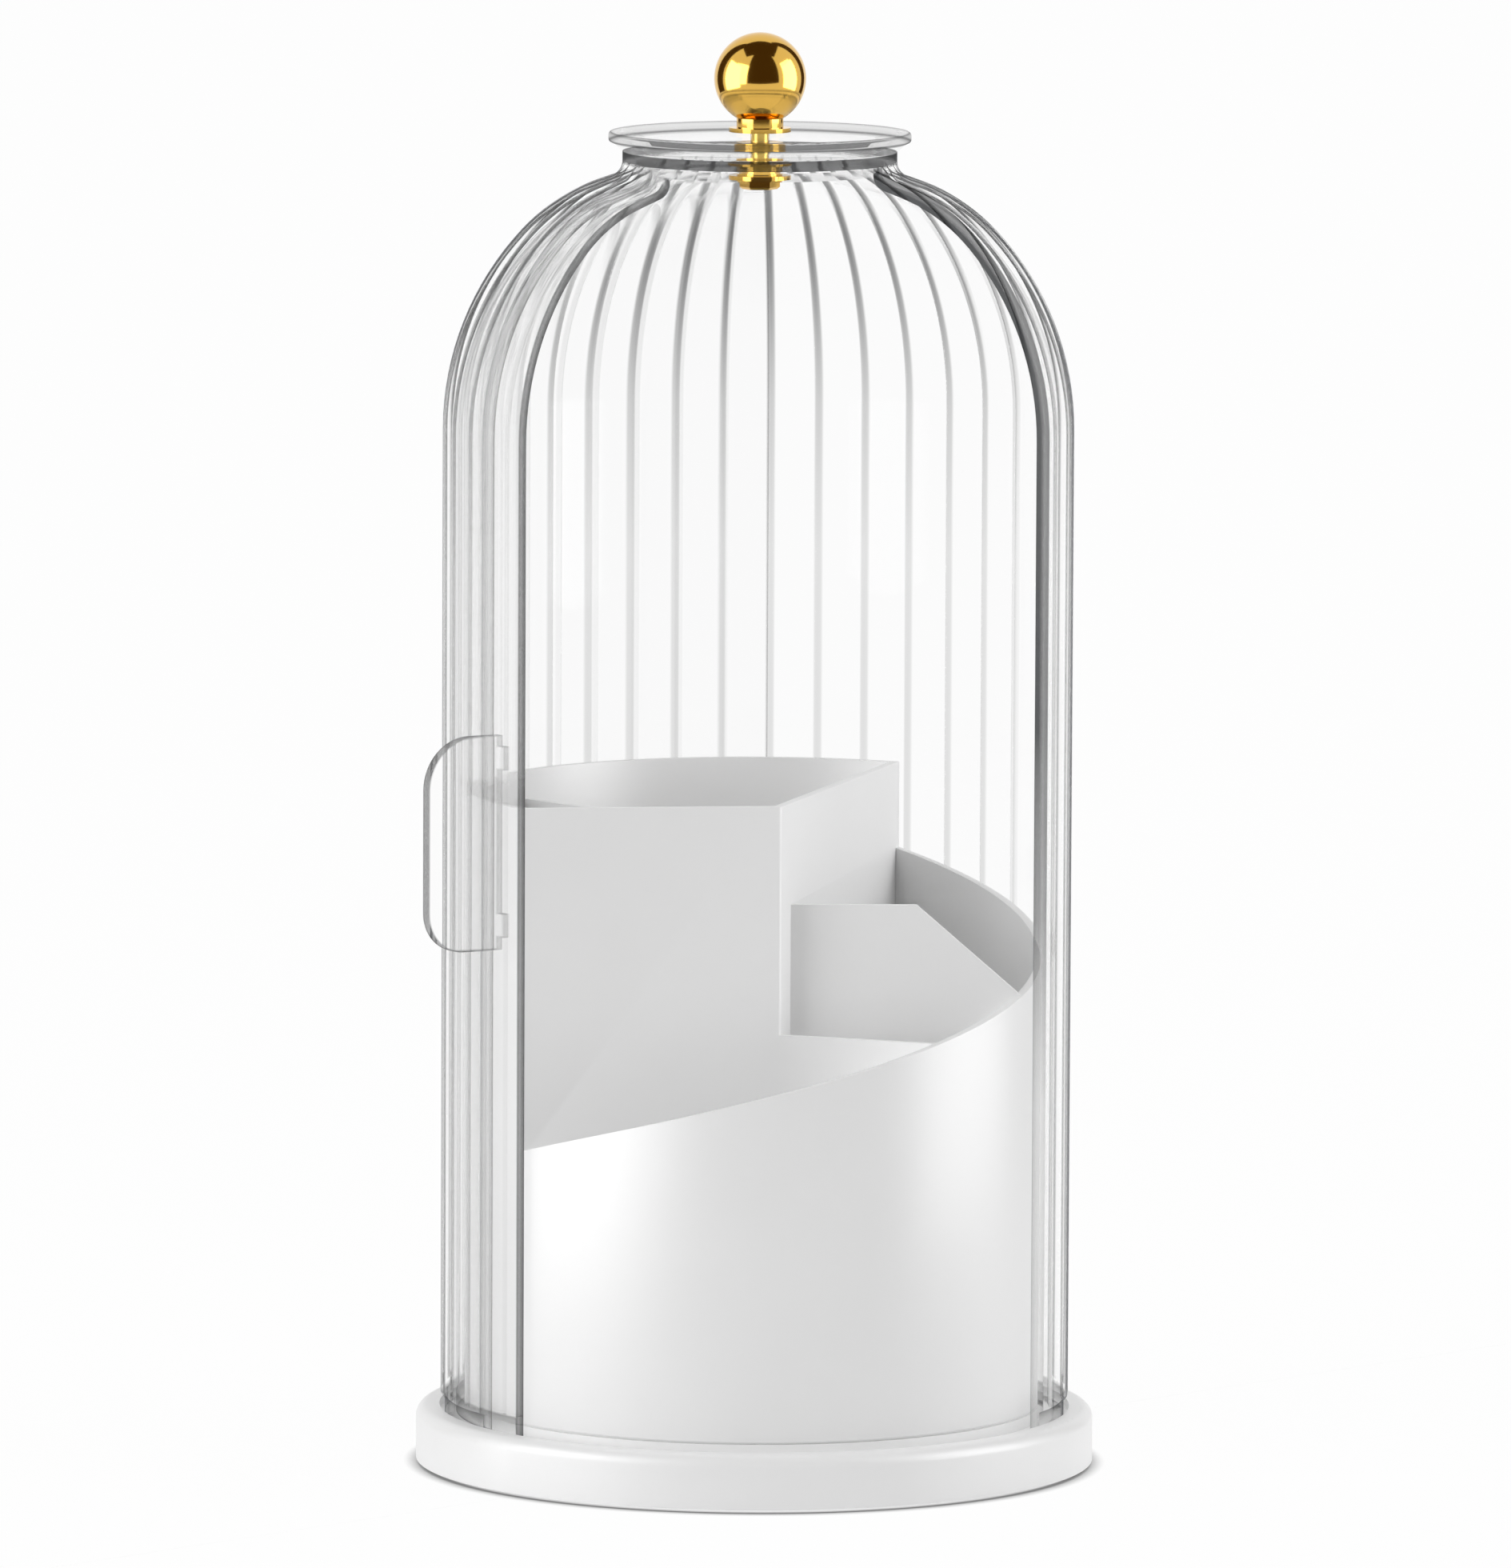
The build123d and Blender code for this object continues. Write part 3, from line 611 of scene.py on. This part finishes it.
# Painted shade on the handle's rim, less where it is bonded to the door.
HANDLE_RIM_SHADE = 0.78
BONDED_SHADE = 0.5
handle_turn = math.radians(HANDLE_AZIMUTH)
handle_across = Vector((math.sin(handle_turn), -math.cos(handle_turn), 0))
handle = copy_of_node("door_handle", "handle_fin")
select_only(handle)
bpy.ops.object.mode_set(mode="EDIT")
bpy.ops.mesh.select_all(action="DESELECT")
bpy.ops.object.mode_set(mode="OBJECT")
for face in handle.data.polygons:
    face.select = abs(face.normal.dot(handle_across)) > 0.99
bpy.ops.object.mode_set(mode="EDIT")
bpy.ops.mesh.select_mode(type="FACE")
bpy.ops.mesh.inset(thickness=HANDLE_STRIP * MM, use_boundary=True)
bpy.ops.object.mode_set(mode="OBJECT")
broad = {v for face in handle.data.polygons if face.select for v in face.vertices}
handle_shade = shading(handle)[0]
for vertex in handle.data.vertices:
    bonded = math.hypot(vertex.co.x, vertex.co.y) < DOME_RADIUS * MM
    rim_shade = HANDLE_RIM_SHADE * (BONDED_SHADE if bonded else 1.0)
    handle_shade[vertex.index].value = 0.0 if vertex.index in broad else rim_shade
smooth_piece(handle, 35)
stand_for(handle, "door_handle", "door", clear_wall)

# The pivot hangs the door, and the knob stands on the lid: a ball, a collar, a tube, a cap nut, a
# bush and a washer on one threaded rod. All but the rod are turned brass, polished and gold-plated,
# so they mirror the studio in warm gold. The rod is yellow zinc-plated steel.
gold_plate = grained(
    "polished_gold_plate", "#e4b85a", "#dcae50", roughness=0.1, grain_mm=0.4, depth_mm=0.001, Metallic=1.0
)
for gilt in ("pivot_nut", "pivot_bush", "pivot_washer", "lid_spacer", "knob_collar", "knob_ball"):
    dress(gilt, gold_plate)
yellow_zinc = grained(
    "yellow_zinc_plated_steel", "#dcbb66", "#d2b05c", roughness=0.2, grain_mm=0.5, depth_mm=0.003, Metallic=1.0
)
dress("knob_stud", yellow_zinc)

# The lid is a clear disc with a flared wall that stands on the neck.
# It is one clear moulding, with its rim rounded, so light leaves it at the rim. The rim's dark band
# is painted shade, darkest along the rim's top and bottom edges.
LID_PLATE = 2.2
LID_WALL = 2.4
LID_EDGE = 0.7
LID_FLARE = (0.6, 0.35)
LID_FOOT_STEP = (0.3, 0.25)
# Painted shade on the lid's rim rows, from the top face round to the flared wall.
LID_RIM_SHADES = (0.0, 0.3, 0.88, 0.65, 0.4, 0.35, 0.45, 0.75, 0.94, 0.95, 0.1, 0.0)
LID_STEPS = 120
lid_low, lid_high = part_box("lid_disc")
lid_top, lid_foot, lid_radius = lid_high.z / MM, lid_low.z / MM, lid_high.x / MM
lid_under = lid_top - LID_PLATE
rim_centre = lid_radius - LID_EDGE
lid_section = [(STUD_BORE, lid_top), (rim_centre - EDGE_STRIP, lid_top), (rim_centre, lid_top)]
lid_section += arc_points((rim_centre, lid_top - LID_EDGE), LID_EDGE, 90, 0, 4)
lid_section += [(lid_radius, lid_under + LID_EDGE)]
lid_section += arc_points((rim_centre, lid_under + LID_EDGE), LID_EDGE, 0, -45, 3)
lid_section += [(rim_centre - LID_FLARE[0], lid_under - LID_FLARE[1])]
lid_section += [(NECK_RADIUS + LID_FOOT_STEP[0], lid_foot + LID_FOOT_STEP[1]), (NECK_RADIUS, lid_foot)]
lid_section += [(NECK_RADIUS - LID_WALL, lid_foot), (NECK_RADIUS - LID_WALL, lid_under), (STUD_BORE, lid_under)]
lid = spun_section("lid_moulding", lid_section, 0, 360, LID_STEPS)
lid_shade = shading(lid)[0]
# The rim rows take their painted shade; the rest stays clear.
for vertex in lid.data.vertices:
    lid_row = vertex.index % len(lid_section)
    in_rim = 0 < lid_row <= len(LID_RIM_SHADES)
    lid_shade[vertex.index].value = LID_RIM_SHADES[lid_row - 1] if in_rim else 0.0
close_seams(lid)
smooth_piece(lid, 50)
stand_for(lid, "lid_disc", "housing", clear_wall)

# The studio: a pale floor that fades into a white background, and cards that stand round the holder.
# Dark and white cards show only in the gilt and satin surfaces, and a felt card shades the front.
FLOOR_GLOW = 0.97
CONTACT_MM = 3
AIR_FILL = 0.5


def background_rays(material):
    """1 for rays that should meet a white background: from the camera, from gloss and through glass."""
    path = add_node(material, "ShaderNodeLightPath")
    seen = add_node(
        material,
        "ShaderNodeMath",
        {"operation": "ADD", "use_clamp": True},
        {0: path.outputs["Is Camera Ray"], 1: path.outputs["Is Glossy Ray"]},
    )
    return add_node(
        material,
        "ShaderNodeMath",
        {"operation": "ADD", "use_clamp": True},
        {0: seen.outputs[0], 1: path.outputs["Is Transmission Ray"]},
    ).outputs[0]


floor_paper = new_material("white_floor_paper")
paper = add_node(floor_paper, "ShaderNodeBsdfDiffuse", {"Color": linear("#f4f4f4")})
# The floor's glow is darkened by ambient occlusion within CONTACT_MM of the holder: a contact shadow made in the
# shader, not cast by the lamps, whose own shadow shows only in the small diffuse share.
contact = add_node(floor_paper, "ShaderNodeAmbientOcclusion", {"Distance": CONTACT_MM * MM, "samples": 8})
glow = add_node(
    floor_paper, "ShaderNodeEmission", {"Color": (1, 1, 1, 1)}, {"Strength": contact.outputs["AO"]}
)
bright = add_node(
    floor_paper, "ShaderNodeMath", {"operation": "MULTIPLY", 1: FLOOR_GLOW}, {0: background_rays(floor_paper)}
)
mixed = add_node(
    floor_paper,
    "ShaderNodeMixShader",
    links={0: bright.outputs[0], 1: paper.outputs["BSDF"], 2: glow.outputs["Emission"]},
)
add_node(floor_paper, "ShaderNodeOutputMaterial", links={"Surface": mixed.outputs["Shader"]})
deselect()
bpy.ops.mesh.primitive_plane_add(size=60, location=(0, 0, cad_low.z))
floor = bpy.context.object
floor.name = "studio_floor"
floor.data.materials.append(floor_paper)

world = bpy.data.worlds.new("studio_air")
bpy.context.scene.world = world
world.use_nodes = True
world.node_tree.nodes.clear()
fill = add_node(
    world, "ShaderNodeMapRange", {"To Min": AIR_FILL, "To Max": 1.0}, {"Value": background_rays(world)}
)
air = add_node(world, "ShaderNodeBackground", {"Color": (1, 1, 1, 1)}, {"Strength": fill.outputs["Result"]})
add_node(world, "ShaderNodeOutputWorld", links={"Surface": air.outputs["Background"]})


def gloss_card(name, colour, strength):
    """A card's glowing face, which clear plastic doesn't show."""
    material = new_material(name)
    path = add_node(material, "ShaderNodeLightPath")
    face = add_node(material, "ShaderNodeEmission", {"Color": linear(colour), "Strength": strength})
    gone = add_node(material, "ShaderNodeBsdfTransparent")
    mix = add_node(
        material,
        "ShaderNodeMixShader",
        links={0: path.outputs["Is Singular Ray"], 1: face.outputs[0], 2: gone.outputs[0]},
    )
    add_node(material, "ShaderNodeOutputMaterial", links={"Surface": mix.outputs[0]})
    return material


dark_card = gloss_card("dark_card", "#4a3a22", strength=1.0)
white_card = gloss_card("white_card", "#ffffff", strength=5.0)
black_felt = new_material("black_felt")
felt = add_node(black_felt, "ShaderNodeBsdfDiffuse", {"Color": linear("#101010")})
add_node(black_felt, "ShaderNodeOutputMaterial", links={"Surface": felt.outputs["BSDF"]})


def place_card(name, corners, material):
    """A card at its four corners, unseen itself: felt shades the holder, and the others only gleam."""
    bpy.ops.mesh.primitive_plane_add(size=1)
    card = bpy.context.object
    card.name = name
    for vertex, corner in zip(card.data.vertices, corners):
        vertex.co = corner
    card.data.materials.append(material)
    card.visible_camera = card.visible_transmission = card.visible_shadow = False
    card.visible_diffuse, card.visible_glossy = material == black_felt, material != black_felt


def studio_card(name, first, second, low, high, material):
    """An upright card between two floor points, in metres."""
    corners = ((*first, low), (*second, low), (*first, high), (*second, high))
    place_card(name, corners, material)


studio_card("front_card", (-0.34, -0.55), (0.60, -0.55), 0.2, 1.9, dark_card)
overhead = ((-1.0, -0.72, 1.9), (1.0, -0.72, 1.9), (-0.9, 0.60, 1.9), (0.9, 0.60, 1.9))
place_card("top_card", overhead, dark_card)
studio_card("left_card", (-0.60, 0.18), (-0.45, 0.45), 0.0, 1.6, dark_card)
studio_card("right_card", (0.52, 0.35), (0.40, 0.55), 0.0, 1.6, dark_card)
studio_card("left_strip", (-0.75, -0.58), (-0.80, 0.10), 0.0, 0.8, white_card)
studio_card("right_strip", (0.90, -0.50), (0.80, 0.20), 0.0, 0.8, white_card)
studio_card("shade_card", (-0.15, -0.60), (0.75, -0.50), 0.0, 1.2, black_felt)

# The lamps: two tall softboxes at the sides, and a weak one above that only the rims and decks show.
# All aim at the middle of the holder.
LAMP_AIM = (0, 0, 0.16)


def soft_lamp(name, place, width, height, watts, in_gloss=True):
    """A soft lamp that faces the holder."""
    lamp = bpy.data.lights.new(name, "AREA")
    lamp.shape = "RECTANGLE"
    lamp.size, lamp.size_y, lamp.energy = width, height, watts
    light = bpy.data.objects.new(name, lamp)
    bpy.context.scene.collection.objects.link(light)
    light.visible_glossy = in_gloss
    light.location = place
    light.rotation_euler = (Vector(LAMP_AIM) - Vector(place)).to_track_quat("-Z", "Y").to_euler()


soft_lamp("left_softbox", (-1.0, -0.8, 0.55), 0.8, 1.1, watts=8.8)
soft_lamp("right_softbox", (1.2, -0.25, 0.55), 0.7, 1.1, watts=7.4)
soft_lamp("top_softbox", (0.5, -0.5, 1.3), 0.8, 0.8, watts=1.2, in_gloss=False)

# The camera stands a long way off with a long lens, a little above the lid's height.
# It is turned a quarter of a degree, as the photograph is.
CAMERA_BACK = 3.341
CAMERA_HEIGHT = 0.5354
CAMERA_PITCH = 6.65
CAMERA_ROLL = 0.26
CAMERA_SIDE = -0.00032
FOCAL_PX = 19703
PHOTO_HEIGHT = 1960
camera_data = bpy.data.cameras.new("photo_camera")
camera_data.sensor_width = 36
camera_data.lens = FOCAL_PX * camera_data.sensor_width / PHOTO_HEIGHT
camera_data.clip_end = 100
camera = bpy.data.objects.new("photo_camera", camera_data)
bpy.context.scene.collection.objects.link(camera)
camera.location = (CAMERA_SIDE, -CAMERA_BACK, CAMERA_HEIGHT)
pitch = Matrix.Rotation(math.radians(90 - CAMERA_PITCH), 3, "X")
roll = Matrix.Rotation(math.radians(CAMERA_ROLL), 3, "Z")
camera.rotation_euler = (pitch @ roll).to_euler()
bpy.context.scene.camera = camera
bpy.context.scene.view_settings.view_transform = "Standard"
bpy.context.scene.cycles.max_bounces = 32
bpy.context.scene.cycles.transmission_bounces = 32
bpy.context.scene.cycles.transparent_max_bounces = 32
